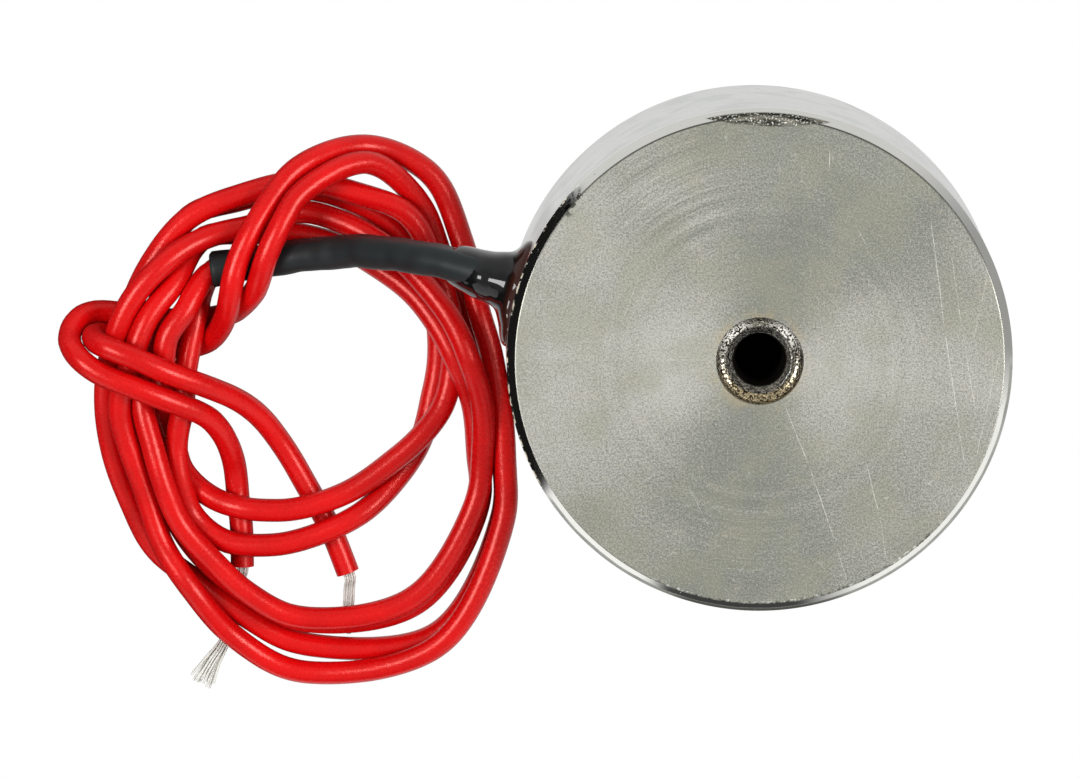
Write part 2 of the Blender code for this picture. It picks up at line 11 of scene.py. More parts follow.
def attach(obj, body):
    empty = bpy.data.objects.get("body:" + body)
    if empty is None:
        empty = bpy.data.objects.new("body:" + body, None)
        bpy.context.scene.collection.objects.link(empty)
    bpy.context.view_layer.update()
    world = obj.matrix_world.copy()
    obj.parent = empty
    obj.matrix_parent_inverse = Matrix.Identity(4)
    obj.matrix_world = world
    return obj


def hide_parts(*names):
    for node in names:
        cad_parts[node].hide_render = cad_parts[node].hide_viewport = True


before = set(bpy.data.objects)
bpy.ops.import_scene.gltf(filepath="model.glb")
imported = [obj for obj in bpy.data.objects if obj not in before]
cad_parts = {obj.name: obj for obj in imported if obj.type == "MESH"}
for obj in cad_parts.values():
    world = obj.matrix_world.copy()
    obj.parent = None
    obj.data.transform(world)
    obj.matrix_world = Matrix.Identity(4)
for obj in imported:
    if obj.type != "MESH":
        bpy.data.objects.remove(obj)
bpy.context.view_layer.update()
scene = bpy.context.scene
MM = 0.001


# The two leads: stranded wire in satin red insulation, 1.6 mm across and 0.33 m long. They leave the
# pot in one sleeve, lie in three loose turns, wind once round the bundle and end stripped.
LEAD_D = 1.6 * MM
LEAD_STACK = 1.7 * MM
POT_R = 17 * MM
COIL_MIDDLE = (-31.0 * MM, -4.8 * MM)
# Each line holds an angle round the coil's middle, then the distance from it and the height of
# lead 1 and lead 2 in each turn, in millimetres
TURNS = (
    (135, (10.3, 3.9), (9.5, 2.3), (14.05, 2.5), (12.3, 1.8), (11.85, 3.5), (13.4, 4.0)),
    (150, (10.25, 4.2), (8.6, 2.6), (13.2, 2.55), (11.1, 2.55), (12.0, 4.2), (13.65, 4.2)),
    (165, (9.6, 3.8), (8.35, 2.75), (12.3, 2.05), (10.75, 2.65), (11.9, 4.0), (13.5, 3.7)),
    (180, (9.4, 1.85), (8.3, 3.1), (10.85, 1.2), (10.55, 3.4), (12.2, 3.4), (13.35, 2.25)),
    (195, (9.1, 1.05), (9.0, 2.7), (10.75, 0.95), (10.3, 3.7), (11.85, 2.95), (13.3, 1.6)),
    (210, (9.4, 0.85), (9.7, 2.5), (11.0, 0.9), (10.65, 3.8), (12.05, 2.6), (13.5, 0.95)),
    (225, (9.0, 1.5), (10.6, 2.0), (12.0, 1.0), (11.45, 3.4), (13.25, 2.6), (14.15, 0.95)),
    (240, (8.2, 2.45), (10.7, 2.2), (12.9, 1.9), (12.15, 3.35), (14.5, 3.0), (14.2, 1.6)),
    (255, (7.55, 2.5), (9.95, 2.45), (13.85, 1.95), (13.4, 3.5), (16.6, 1.7), (15.15, 1.6)),
    (270, (7.15, 2.5), (9.25, 2.45), (15.1, 1.75), (14.6, 3.3), (18.4, 1.2), (16.7, 1.45)),
    (300, (6.9, 2.45), (8.55, 2.3), (15.95, 1.65), (15.35, 3.1), (19.0, 2.5), (18.6, 0.95)),
    (330, (7.6, 2.5), (8.55, 0.95), (14.1, 0.9), (13.8, 2.5), (16.0, 2.45), (15.8, 0.85)),
    (345, (8.65, 2.5), (8.8, 0.85), (12.5, 1.0), (12.9, 2.65), (14.45, 2.45), (14.2, 0.85)),
    (360, (10.0, 2.2), (9.1, 0.85), (11.7, 2.1), (12.4, 3.6), (13.75, 2.5), (13.5, 0.85)),
    (375, (10.95, 2.1), (9.95, 0.85), (11.1, 3.75), (11.95, 4.9), (13.6, 2.5), (13.4, 0.85)),
    (390, (12.0, 2.15), (11.0, 0.85), (10.9, 3.4), (11.9, 4.7), (13.9, 2.4), (13.3, 0.85)),
    (405, (13.2, 2.3), (12.2, 0.85), (10.85, 2.6), (11.9, 3.9), (15.55, 1.0), (13.95, 0.85)),
    (420, (15.0, 2.45), (13.45, 0.85), (10.75, 1.75), (12.2, 2.6), (17.95, 0.85), (16.15, 1.1)),
    (435, (15.05, 2.4), (14.15, 0.85), (11.0, 0.95), (12.6, 1.4), (18.2, 1.15), (17.5, 2.65)),
    (450, (15.3, 2.4), (14.55, 0.85), (11.35, 0.85), (12.95, 0.9), (16.35, 3.8), (15.1, 4.7)),
    (465, (14.95, 2.4), (14.25, 0.9), (11.75, 0.9), (12.5, 2.35)),
    (480, (14.9, 2.45), (14.45, 0.9), (12.85, 1.2), (13.0, 2.85)),
)
# Where each lead leaves the turns, winds round them and runs out below
WRAP_1 = (
    (-33.6, 8.5, 4.7), (-34.5, 7.0, 5.0), (-35.3, 5.3, 5.0), (-35.7, 3.8, 4.9), (-36.0, 2.3, 4.1),
    (-36.8, 0.6, 2.5), (-38.0, -0.5, 1.0), (-40.2, -0.8, 0.85), (-42.6, -0.5, 0.85),
    (-44.1, 0.0, 1.3), (-44.9, 0.1, 2.8), (-44.8, -0.2, 4.4), (-43.8, -0.6, 5.6),
    (-41.9, -1.3, 5.95), (-40.2, -2.1, 5.8), (-38.5, -2.8, 5.2), (-36.9, -3.5, 4.3),
    (-35.2, -4.4, 3.2), (-33.8, -5.6, 2.1), (-32.6, -7.2, 1.2), (-31.6, -8.8, 0.85),
    (-30.6, -10.6, 0.85), (-29.7, -12.2, 0.85), (-28.8, -14.0, 0.85), (-27.8, -16.6, 0.85),
)
WRAP_2 = (
    (-32.4, 8.1, 5.4), (-33.1, 6.6, 5.5), (-33.6, 5.2, 5.3), (-34.0, 3.7, 4.4), (-34.8, 2.4, 3.1),
    (-35.7, 1.4, 1.6), (-37.3, 0.8, 0.9), (-40.0, 0.6, 0.85), (-42.9, 0.9, 0.85),
    (-44.6, 1.1, 1.2), (-45.9, 0.7, 2.2), (-46.4, -0.5, 3.8), (-45.7, -1.6, 5.2),
    (-44.3, -2.6, 5.7), (-42.5, -3.3, 5.8), (-40.6, -4.1, 5.6), (-38.8, -4.9, 4.9),
    (-37.5, -5.6, 4.1), (-36.6, -6.7, 3.2), (-36.0, -8.2, 2.0), (-35.7, -9.8, 1.05),
    (-35.6, -11.6, 0.85), (-35.4, -13.7, 0.85), (-35.4, -16.6, 0.85),
)
EXIT_AZIMUTH = radians(163.9)
EXIT_Z = 12.3 * MM
WALL_INSIDE_R = 14.35 * MM
SLEEVE_START_R = 17.4 * MM
SLEEVE_ROUTE = (
    (-18.8, 5.4, 12.2), (-20.1, 5.7, 11.7), (-21.5, 6.0, 10.9), (-22.8, 6.1, 9.9),
    (-24.2, 6.2, 8.7), (-25.6, 6.2, 7.5), (-26.9, 6.2, 6.3), (-28.3, 6.0, 5.2), (-29.7, 5.8, 4.3),
    (-31.1, 5.6, 3.6), (-32.4, 5.3, 3.0), (-33.8, 5.1, 2.55), (-35.2, 4.8, 2.25),
    (-37.0, 4.5, 2.1),
)
SPLICE_RING_R = 10.75 * MM
SPLICE_Z = 12.2 * MM
# From splice to exit hole: degrees short of the hole, and the share of the stack reached there
INNER_BEND = ((50, 0.0), (38, 0.0), (26, 0.35), (14, 0.75))
BEND_FROM = 26
BEND_OUTWARDS = 0.07 * MM
# How the lines are divided, how far apart the leads and what they touch end up, and the press that
# spreads them
SPAN_STEPS = 8
SLEEVE_LINE_STEP = 0.8 * MM
LEAD_LINE_STEP = 1.2 * MM
LEAD_MESH_STEP = 0.4 * MM
HELD_PAST_SLEEVE = 0.5 * MM
LEADS_APART = 1.06 * LEAD_D
SLEEVE_APART = 2.05 * MM
OWN_TURN_APART = 5.5 * MM
WALL_APART = 0.1 * MM
FLOOR_APART = 0.02 * MM
ROUNDS = 300
PRESS = 0.175
EASE = 0.2


def smooth(points, per_span=SPAN_STEPS):
    """Points along a curve that runs smoothly through the given ones, without loops in it."""
    p = np.array(points, float)
    p = np.vstack([2 * p[0] - p[1], p, 2 * p[-1] - p[-2]])
    line = []
    for a, b, c, d in zip(p[:-3], p[1:-2], p[2:-1], p[3:]):
        t1 = sqrt(np.linalg.norm(b - a))
        t2 = t1 + sqrt(np.linalg.norm(c - b))
        t3 = t2 + sqrt(np.linalg.norm(d - c))
        for t in np.linspace(t1, t2, per_span, endpoint=False):
            ab = a + (b - a) * t / t1
            bc = b + (c - b) * (t - t1) / (t2 - t1)
            cd = c + (d - c) * (t - t2) / (t3 - t2)
            abc = ab + (bc - ab) * t / t2
            bcd = bc + (cd - bc) * (t - t1) / (t3 - t1)
            line.append(abc + (bcd - abc) * (t - t1) / (t2 - t1))
    line.append(p[-2])
    return np.array(line)


def distances(line):
    steps = np.linalg.norm(np.diff(line, axis=0), axis=1)
    return np.concatenate([[0.0], np.cumsum(steps)])


def evenly(line, step):
    """The line's points at even steps along it."""
    along = distances(line)
    at = np.linspace(0.0, along[-1], int(round(along[-1] / step)) + 1)
    return np.column_stack([np.interp(at, along, line[:, i]) for i in range(3)])


def beside(line, offset):
    """The line moved by an offset at right angles to itself, within upright planes."""
    heading = np.gradient(line, axis=0)
    heading /= np.linalg.norm(heading, axis=1)[:, None]
    side = np.cross(heading, (0.0, 0.0, 1.0))
    side /= np.linalg.norm(side, axis=1)[:, None]
    return line + offset * np.cross(side, heading)


def settle(lines, held, sleeve):
    """Press crossing leads apart until each clears the others, the sleeve, the floor and the pot."""
    start = np.vstack(lines)
    ends = np.cumsum([0] + [len(line) for line in lines])
    owner = np.repeat(np.arange(len(lines)), [len(line) for line in lines])
    along = np.concatenate([distances(line) for line in lines])
    others = (owner[:, None] != owner[None]) | (np.abs(along[:, None] - along[None]) > OWN_TURN_APART)
    places = start.copy()
    for _ in range(ROUNDS):
        push = np.zeros_like(places)
        for near, limit, mask in ((places, LEADS_APART, others), (sleeve, SLEEVE_APART, True)):
            off = places[:, None] - near[None]
            gap = np.maximum(np.linalg.norm(off, axis=2), 1e-9)
            short = np.where(mask & (gap < limit), limit / gap - 1.0, 0.0)
            push += (off * short[..., None]).sum(1) * PRESS
        moved = places + push - start
        for k, (a, b) in enumerate(zip(ends[:-1], ends[1:])):
            part = moved[a:b]
            part[1:-1] += EASE * (part[:-2] + part[2:] - 2 * part[1:-1])
            part[: held[k]] = 0.0
        places = start + moved
        places[:, 2] = np.maximum(places[:, 2], LEAD_D / 2 + FLOOR_APART)
        clear = POT_R + LEAD_D / 2 + WALL_APART
        out = np.maximum(clear / np.linalg.norm(places[:, :2], axis=1), 1.0)
        for k, a in enumerate(ends[:-1]):
            out[a : a + held[k]] = 1.0
        places[:, :2] *= out[:, None]
    return [places[a:b] for a, b in zip(ends[:-1], ends[1:])]


def ring_point(r, angle, z):
    return (r * cos(angle), r * sin(angle), z)


sleeve_points = [ring_point(r, EXIT_AZIMUTH, EXIT_Z) for r in (WALL_INSIDE_R, SLEEVE_START_R)]
sleeve_points += [tuple(v * MM for v in point) for point in SLEEVE_ROUTE]
sleeve_line = evenly(smooth(sleeve_points), SLEEVE_LINE_STEP)
lead_lines = []
held = []
for turn, columns, wrap in ((1, (1, 3, 5), WRAP_1), (-1, (2, 4, 6), WRAP_2)):
    points = []
    for degrees, lift in INNER_BEND:
        angle = EXIT_AZIMUTH - turn * radians(degrees)
        r = SPLICE_RING_R + (BEND_FROM - min(degrees, BEND_FROM)) * BEND_OUTWARDS
        points.append(ring_point(r, angle, SPLICE_Z + turn * lift * LEAD_STACK / 2))
    points += [tuple(p) for p in beside(np.array(sleeve_points), turn * LEAD_STACK / 2)]
    last_in_sleeve = len(points) - 1
    for column in columns:
        for section in TURNS:
            if column < len(section):
                r, z = section[column]
                x, y, z = ring_point(r * MM, radians(section[0]), z * MM)
                points.append((COIL_MIDDLE[0] + x, COIL_MIDDLE[1] + y, z))
    points += [tuple(v * MM for v in point) for point in wrap]
    whole = smooth(points)
    in_sleeve = distances(whole)[last_in_sleeve * SPAN_STEPS]
    line = evenly(whole, LEAD_LINE_STEP)
    lead_lines.append(line)
    held.append(int((distances(line) < in_sleeve + HELD_PAST_SLEEVE).sum()))
stacked = [beside(sleeve_line, offset) for offset in (-LEAD_STACK / 2, 0.0, LEAD_STACK / 2)]
lead_lines = settle(lead_lines, held, np.vstack(stacked))


def wire_curve(name, lines, radius, sides=6):
    """One curve object whose splines are round wires along the lines."""
    curve = bpy.data.curves.new(name, "CURVE")
    curve.dimensions = "3D"
    curve.bevel_depth = radius
    curve.bevel_resolution = sides
    curve.use_fill_caps = True
    for line in lines:
        spline = curve.splines.new("POLY")
        spline.points.add(len(line) - 1)
        for point, place in zip(spline.points, line):
            point.co = (*place, 1.0)
        spline.use_smooth = True
    made = bpy.data.objects.new(name, curve)
    scene.collection.objects.link(made)
    return made


class Shade:
    """A value in a node tree. Arithmetic on it adds Math nodes."""

    def __init__(self, owner, socket):
        self.owner = owner
        self.socket = socket

    def math(self, operation, *values):
        return self.owner.node("ShaderNodeMath", {"operation": operation}, dict(enumerate(values)))

    def __add__(self, other):
        return self.math("ADD", self, other)

    def __radd__(self, other):
        return self.math("ADD", other, self)

    def __sub__(self, other):
        return self.math("SUBTRACT", self, other)

    def __rsub__(self, other):
        return self.math("SUBTRACT", other, self)

    def __mul__(self, other):
        return self.math("MULTIPLY", self, other)

    def __rmul__(self, other):
        return self.math("MULTIPLY", other, self)

    def __pow__(self, other):
        return self.math("POWER", self, other)

    def absolute(self):
        return self.math("ABSOLUTE", self)

    def cosine(self):
        return self.math("COSINE", self)


class Nodes:
    """A node tree, whose nodes all come from one method."""

    def __init__(self, tree):
        self.tree = tree

    def node(self, kind, settings=(), values=(), output=0):
        made = self.tree.nodes.new(kind)
        settings = dict(settings)
        stops = settings.pop("stops", ())
        for name, value in settings.items():
            setattr(made, name, value)
        if stops:
            ramp = made.color_ramp.elements
            while len(ramp) < len(stops):
                ramp.new(1.0)
            for element, (where, light) in zip(ramp, stops):
                element.position = where
                element.color = (light, light, light, 1.0)
        for name, value in dict(values).items():
            if isinstance(value, Shade):
                self.tree.links.new(value.socket, made.inputs[name])
            else:
                made.inputs[name].default_value = value
        return Shade(self, made.outputs[output])

    def place(self):
        """The point on the object, in metres."""
        return self.node("ShaderNodeTexCoord", output="Object")

    def axes(self, vector):
        return [self.node("ShaderNodeSeparateXYZ", {}, {0: vector}, i) for i in range(3)]

    def vector(self, x, y, z):
        return self.node("ShaderNodeCombineXYZ", {}, {0: x, 1: y, 2: z})

    def noise(self, vector, scale, detail=2.0, roughness=0.5):
        values = {"Vector": vector, "Scale": scale, "Detail": detail, "Roughness": roughness}
        return self.node("ShaderNodeTexNoise", {}, values)

    def noise_along(self, value, scale, detail):
        """Noise that changes along one value only."""
        values = {"W": value, "Scale": scale, "Detail": detail}
        return self.node("ShaderNodeTexNoise", {"noise_dimensions": "1D"}, values)

    def between(self, value, low, high):
        """0 at low and 1 at high, eased."""
        settings = {"interpolation_type": "SMOOTHSTEP"}
        return self.node("ShaderNodeMapRange", settings, {0: value, 1: low, 2: high, 3: 0.0, 4: 1.0})

    def band(self, value, start, full, still_full, end):
        """0 at start, 1 from full to still_full and 0 again at end."""
        return self.between(value, start, full) * self.between(value, end, still_full)

    def mix(self, factor, one, other):
        one, other = [(*c, 1.0) if isinstance(c, tuple) else c for c in (one, other)]
        return self.node("ShaderNodeMix", {"data_type": "RGBA"}, {0: factor, 6: one, 7: other}, 2)

    def link(self, value, node, socket):
        self.tree.links.new(value.socket, self.tree.nodes[node].inputs[socket])


class Finish(Nodes):
    """A material on the Principled shader."""

    def __init__(self, name, **constants):
        self.material = bpy.data.materials.new(name)
        self.material.use_nodes = True
        super().__init__(self.material.node_tree)
        shader = self.tree.nodes["Principled BSDF"]
        for socket, value in constants.items():
            shader.inputs[socket.replace("_", " ")].default_value = value

    def feed(self, socket, value):
        self.link(value, "Principled BSDF", socket)

    def relief(self, height, distance, strength):
        values = {"Height": height, "Distance": distance, "Strength": strength}
        self.feed("Normal", self.node("ShaderNodeBump", {}, values))


red = Finish("red_insulation", Specular_IOR_Level=0.85, Specular_Tint=(1.0, 0.36, 0.32, 1.0))
place = red.place()
grain = red.noise(place, 4200.0, 3.0, 0.7)
cloud = red.noise(place, 260.0, 2.0)
painted_shade_edge = red.node("ShaderNodeLayerWeight", {}, {"Blend": 0.35}, "Facing")
middle = red.mix(
    red.between(cloud * 0.7 + grain * 0.3, 0.3, 0.7), (0.54, 0.002, 0.003), (0.70, 0.003, 0.004)
)
# Painted shade: the red darkens towards the lead's edges, where its surface turns away from the
# camera.
red.feed("Base Color", red.mix(red.between(painted_shade_edge, 0.35, 0.95), middle, (0.33, 0.001, 0.0015)))
red.feed("Roughness", 0.18 + 0.18 * grain + 0.35 * red.between(painted_shade_edge, 0.5, 0.95))
red.relief(grain + red.noise(place, 900.0) * 0.6, 0.025 * MM, 0.7)

leads = []
for number, line in enumerate(lead_lines, 1):
    fine_line = evenly(smooth(line, 4), LEAD_MESH_STEP)
    lead = wire_curve(f"lead_{number}_insulation", [fine_line], LEAD_D / 2)
    lead.data.materials.append(red.material)
    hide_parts(f"lead_{number}")
    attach(lead, "root")
    leads.append(lead)


# The bare ends: seventeen tinned strands a lead, in a round bunch at the cut insulation. They lie
# under the turns of the coil, and those of lead 2 fan out at the tip.
STRAND_D = 0.15 * MM
STRAND_PITCH = 0.175 * MM
HIDDEN_END = 1.0 * MM
STRAIGHT_END = 0.45 * MM
STRAY = 0.16 * MM
# The last number of a point says how far the strands fan out there
TAILS = (
    (
        (-27.7, -17.6, 0.55, 1.0), (-27.75, -18.6, 0.38, 1.0), (-27.85, -20.0, 0.38, 1.0),
        (-28.0, -20.9, 0.38, 1.0),
    ),
    (
        (-35.5, -17.5, 0.55, 1.0), (-35.7, -18.6, 0.38, 1.0), (-36.0, -20.0, 0.38, 1.0),
        (-36.3, -21.4, 0.38, 1.0), (-37.2, -22.9, 0.38, 1.5), (-38.0, -24.4, 0.38, 2.3),
    ),
)
bunch = []
for column in range(5):
    rows = 3 + column % 2
    for row in range(rows):
        bunch.append(((column - 2) * STRAND_PITCH * 0.9, (row - (rows - 1) / 2) * STRAND_PITCH))

tin = Finish("tinned_strands", Metallic=0.1, Roughness=0.5, Specular_IOR_Level=0.2)
wobble = tin.noise(tin.place(), 1800.0)
tin.feed("Base Color", tin.mix(wobble, (0.58, 0.58, 0.53), (0.82, 0.82, 0.77)))

strands = []
for number, line, tail in zip((1, 2), lead_lines, TAILS):
    end, before = Vector(line[-1]), Vector(line[-2])
    heading = (end - before).normalized()
    side = Vector((heading.y, -heading.x, 0.0)).normalized()
    route = [Vector([v * MM for v in point[:3]]) for point in tail]
    wires = []
    for k, (across, lift) in enumerate(bunch):
        beside_end = end + side * across + Vector((0, 0, lift))
        points = [beside_end - heading * HIDDEN_END]
        points.append(beside_end + heading * STRAIGHT_END)
        for i, (middle, point) in enumerate(zip(route, tail)):
            onward = route[min(i + 1, len(route) - 1)] - route[max(i - 1, 0)]
            turned = Vector((onward.y, -onward.x, 0.0)).normalized()
            stray = STRAY * (point[3] - 1) * sin(2.4 * k)
            points.append(middle + turned * (across * point[3] + stray) + Vector((0, 0, lift)))
        # The strands end unevenly
        points[-1] = points[-2] + (points[-1] - points[-2]) * (1 - 0.07 * ((7 * k) % 5))
        wires.append(smooth(points, 6))
    piece = wire_curve(f"lead_{number}_strands", wires, STRAND_D / 2, 2)
    piece.data.materials.append(tin.material)
    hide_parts(*[f"lead_{number}_strand_{k:02d}" for k in range(1, 18)])
    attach(piece, "root")
    strands.append(piece)


# The sleeve: black heat-shrink tubing over both leads, cut square at its far end. Shrinking drew
# it flat-sided round the pair, with a dull skin that shows the leads' own shape.
SLEEVE_W = 2.1 * MM
SLEEVE_WALL = 0.14 * MM
SLEEVE_STEP = 0.3 * MM
MOUTH_FROM = 0.93
MOUTH_WIDER = 0.10


def as_mesh(thing):
    """The object's shape with its modifiers and curve settings applied, as a mesh object."""
    bpy.context.view_layer.update()
    graph = bpy.context.evaluated_depsgraph_get()
    mesh = bpy.data.meshes.new_from_object(thing.evaluated_get(graph))
    name = thing.name
    bpy.data.objects.remove(thing)
    made = bpy.data.objects.new(name, mesh)
    scene.collection.objects.link(made)
    return made


outline = bpy.data.curves.new("sleeve_outline", "CURVE")
outline.dimensions = "2D"
oval = outline.splines.new("POLY")
ring = []
for sign, first in ((1, 0.0), (-1, pi)):
    for i in range(11):
        angle = first + i / 10 * pi
        side = sign * LEAD_STACK / 2 + SLEEVE_W / 2 * sin(angle)
        ring.append((SLEEVE_W / 2 * cos(angle), side, 0.0))
oval.points.add(len(ring) - 1)
for point, where in zip(oval.points, ring):
    point.co = (*where, 1.0)
oval.use_cyclic_u = True
oval_object = bpy.data.objects.new("sleeve_outline", outline)
scene.collection.objects.link(oval_object)

sweep = bpy.data.curves.new("sleeve_skin", "CURVE")
sweep.dimensions = "3D"
sweep.twist_mode = "Z_UP"
sweep.bevel_mode = "OBJECT"
sweep.bevel_object = oval_object
path = sweep.splines.new("POLY")
stations = evenly(smooth(sleeve_line, 4), SLEEVE_STEP)
path.points.add(len(stations) - 1)
for i, (point, where) in enumerate(zip(path.points, stations)):
    point.co = (*where, 1.0)
    share = i / (len(stations) - 1)
    ripple = 0.012 * sin(41 * share) + 0.008 * sin(97 * share + 1)
    point.radius = 1.0 + ripple + MOUTH_WIDER * max(0.0, share - MOUTH_FROM) / (1 - MOUTH_FROM)
sleeve = bpy.data.objects.new("sleeve_skin", sweep)
scene.collection.objects.link(sleeve)
sleeve = as_mesh(sleeve)
bpy.data.objects.remove(oval_object)
work = bmesh.new()
work.from_mesh(sleeve.data)
bmesh.ops.remove_doubles(work, verts=work.verts, dist=0.001 * MM)
bmesh.ops.recalc_face_normals(work, faces=work.faces)
bmesh.ops.solidify(work, geom=work.faces, thickness=SLEEVE_WALL)
bmesh.ops.recalc_face_normals(work, faces=work.faces)
work.to_mesh(sleeve.data)
work.free()
sleeve.data.shade_smooth()

shrunk = Finish("shrunk_tubing", Specular_IOR_Level=0.3)
place = shrunk.place()
mottle = shrunk.noise(place, 500.0, 3.0)
shrunk.feed("Base Color", shrunk.mix(mottle, (0.007, 0.010, 0.011), (0.017, 0.023, 0.024)))
shrunk.feed("Roughness", 0.42 + 0.18 * mottle)
shrunk.relief(mottle + shrunk.noise(place, 2500.0) * 0.4, 0.03 * MM, 0.6)
sleeve.data.materials.append(shrunk.material)
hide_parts("heat_shrink_sleeve")
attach(sleeve, "root")


# The glue: a thick run of glossy black epoxy, laid round the sleeve where it enters the pot. It
# stands up against the wall, runs down it a little and set with soft lumps.
GLUE_GRID = 0.09 * MM
# Each lump holds degrees from the exit hole, then its middle off the wall and its half sizes,
# outwards, sideways and upwards, in millimetres
GLUE_LUMPS = (
    (0.0, (0.0, 0.0, 0.1), (1.1, 2.5, 3.1)),
    (0.0, (1.0, 0.1, -0.1), (1.6, 1.95, 2.65)),
    (0.0, (2.2, 0.2, -0.35), (1.7, 1.75, 2.55)),
    (0.0, (3.2, 0.15, -0.75), (1.4, 1.6, 2.4)),
    (0.0, (4.0, 0.1, -1.1), (1.1, 1.45, 2.2)),
    (5.0, (0.1, 0.0, 0.4), (0.9, 1.7, 2.6)),
    (10.0, (0.0, 0.0, 0.9), (0.6, 1.5, 2.4)),
    (-6.0, (0.0, 0.0, 0.2), (0.6, 1.4, 2.3)),
)


def new_object(name, work):
    """The bmesh as a mesh object in the scene."""
    mesh = bpy.data.meshes.new(name)
    work.to_mesh(mesh)
    work.free()
    made = bpy.data.objects.new(name, mesh)
    scene.collection.objects.link(made)
    return made


work = bmesh.new()
to_exit = Matrix.Rotation(EXIT_AZIMUTH, 4, "Z")
for degrees, middle, size in GLUE_LUMPS:
    where = Matrix.Translation(Vector((POT_R, 0, EXIT_Z)) + Vector(middle) * MM)
    shape = to_exit @ Matrix.Rotation(radians(degrees), 4, "Z") @ where
    shape = shape @ Matrix.Diagonal((*[v * MM for v in size], 1.0))
    bmesh.ops.create_uvsphere(work, u_segments=32, v_segments=20, radius=1.0, matrix=shape)
glue = new_object("glue", work)
fuse = glue.modifiers.new("Fuse", "REMESH")
fuse.mode = "VOXEL"
fuse.voxel_size = GLUE_GRID
soften = glue.modifiers.new("Soften", "SMOOTH")
soften.factor = 0.8
soften.iterations = 110
glue = as_mesh(glue)
glue.data.shade_smooth()

epoxy = Finish("black_epoxy", Roughness=0.05, Specular_IOR_Level=0.45)
place = epoxy.place()
x, y, z = epoxy.axes(place)
ripples = epoxy.noise(place, 420.0, 1.0, 0.3)
thin = epoxy.between((x * x + y * y) ** 0.5, POT_R + 0.75 * MM, POT_R + 0.15 * MM)
brown = epoxy.mix(thin, (0.004, 0.005, 0.005), (0.045, 0.010, 0.005))
epoxy.feed("Base Color", epoxy.mix(ripples * 0.4, brown, (0.012, 0.010, 0.009)))
epoxy.relief(ripples, 0.40 * MM, 0.8)
glue.data.materials.append(epoxy.material)
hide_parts("adhesive")
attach(glue, "root")

for lead, line, piece in zip(leads, lead_lines, strands):
    [piece, sleeve, glue] if lead == leads[0] else [piece]


# The pot: turned from one bar of steel, a cup with its core in the middle, chamfered at the back
# and with a hollow countersink into a threaded hole.
POT_H = 18 * MM
GROOVE_R = 14.5 * MM
GROOVE_TOP = 14.5 * MM
CORE_R = 7 * MM
HOLE_R = 1.78 * MM
HOLE_FLOOR = 9 * MM
MOUTH_R = 2.28 * MM
NECK_H = 0.46 * MM
SINK_R = 2.88 * MM
SINK_DEPTH = 0.5 * MM
LIP_H = 0.04 * MM
LIP_W = 0.05 * MM
RIM_CHAMFER = 0.57 * MM
RIM_WORN = 0.19 * MM
EDGE_WORN = 0.05 * MM
FOOT_CHAMFER = 0.3 * MM
EXIT_R = 2.15 * MM
DRILL_LENGTH = 8 * MM
STEPS = 240

corners = [(0.0, HOLE_FLOOR), (HOLE_R, HOLE_FLOOR), (HOLE_R, POT_H - SINK_DEPTH - NECK_H)]
for i in range(9):
    angle = i / 8 * pi / 2
    r = MOUTH_R + (SINK_R - MOUTH_R) * sin(angle)
    corners.append((r, POT_H - LIP_H - (SINK_DEPTH - LIP_H) * cos(angle)))
# The chamfer at the back is worn round at its corners
corners += [
    (SINK_R + LIP_W, POT_H),
    (POT_R - RIM_CHAMFER - EDGE_WORN, POT_H),
    (POT_R - RIM_CHAMFER + 0.01 * MM, POT_H - 0.02 * MM),
    (POT_R - RIM_WORN, POT_H - RIM_CHAMFER + RIM_WORN + 0.01 * MM),
    (POT_R, POT_H - RIM_CHAMFER - EDGE_WORN),
    (POT_R, FOOT_CHAMFER + 0.1 * MM),
    (POT_R, FOOT_CHAMFER),
    (POT_R - FOOT_CHAMFER, 0.0),
    (GROOVE_R, 0.0),
    (GROOVE_R, GROOVE_TOP),
    (CORE_R, GROOVE_TOP),
    (CORE_R, FOOT_CHAMFER),
    (CORE_R - FOOT_CHAMFER, 0.0),
    (0.0, 0.0),
]
work = bmesh.new()
chain = [work.verts.new((r, 0.0, z)) for r, z in corners]
edges = [work.edges.new(pair) for pair in zip(chain, chain[1:])]
bmesh.ops.spin(
    work, geom=chain + edges, cent=(0, 0, 0), axis=(0, 0, 1), dvec=(0, 0, 0),
    angle=2 * pi, steps=STEPS, use_merge=True,
)
bmesh.ops.remove_doubles(work, verts=work.verts, dist=0.001 * MM)
bmesh.ops.recalc_face_normals(work, faces=work.faces)
pot = new_object("pot_body", work)

work = bmesh.new()
where = to_exit @ Matrix.Translation((POT_R, 0, EXIT_Z)) @ Matrix.Rotation(pi / 2, 4, "Y")
bmesh.ops.create_cone(
    work, cap_ends=True, segments=48, radius1=EXIT_R, radius2=EXIT_R, depth=DRILL_LENGTH, matrix=where
)
drill = new_object("drill", work)
hole = pot.modifiers.new("Exit hole", "BOOLEAN")
hole.operation = "DIFFERENCE"
hole.solver = "EXACT"
hole.object = drill
pot = as_mesh(pot)
bpy.data.objects.remove(drill)
pot.data.shade_smooth()
pot.data.set_sharp_from_angle(angle=radians(14))

steel = Finish("turned_steel", Metallic=1.0)
place = steel.place()
x, y, z = steel.axes(place)
r = (x * x + y * y) ** 0.5
angle = steel.node("ShaderNodeMath", {"operation": "ARCTAN2"}, {0: y, 1: x})
on_top = steel.between(z, POT_H - 0.06 * MM, POT_H - 0.01 * MM)
on_foot = steel.between(z, 0.06 * MM, 0.01 * MM)
above_floor = steel.between(z, HOLE_FLOOR - 1.0 * MM, HOLE_FLOOR - 0.5 * MM)
at_back = steel.between(z, POT_H - 0.9 * MM, POT_H - 0.8 * MM)
on_rim = at_back * (1 - on_top)
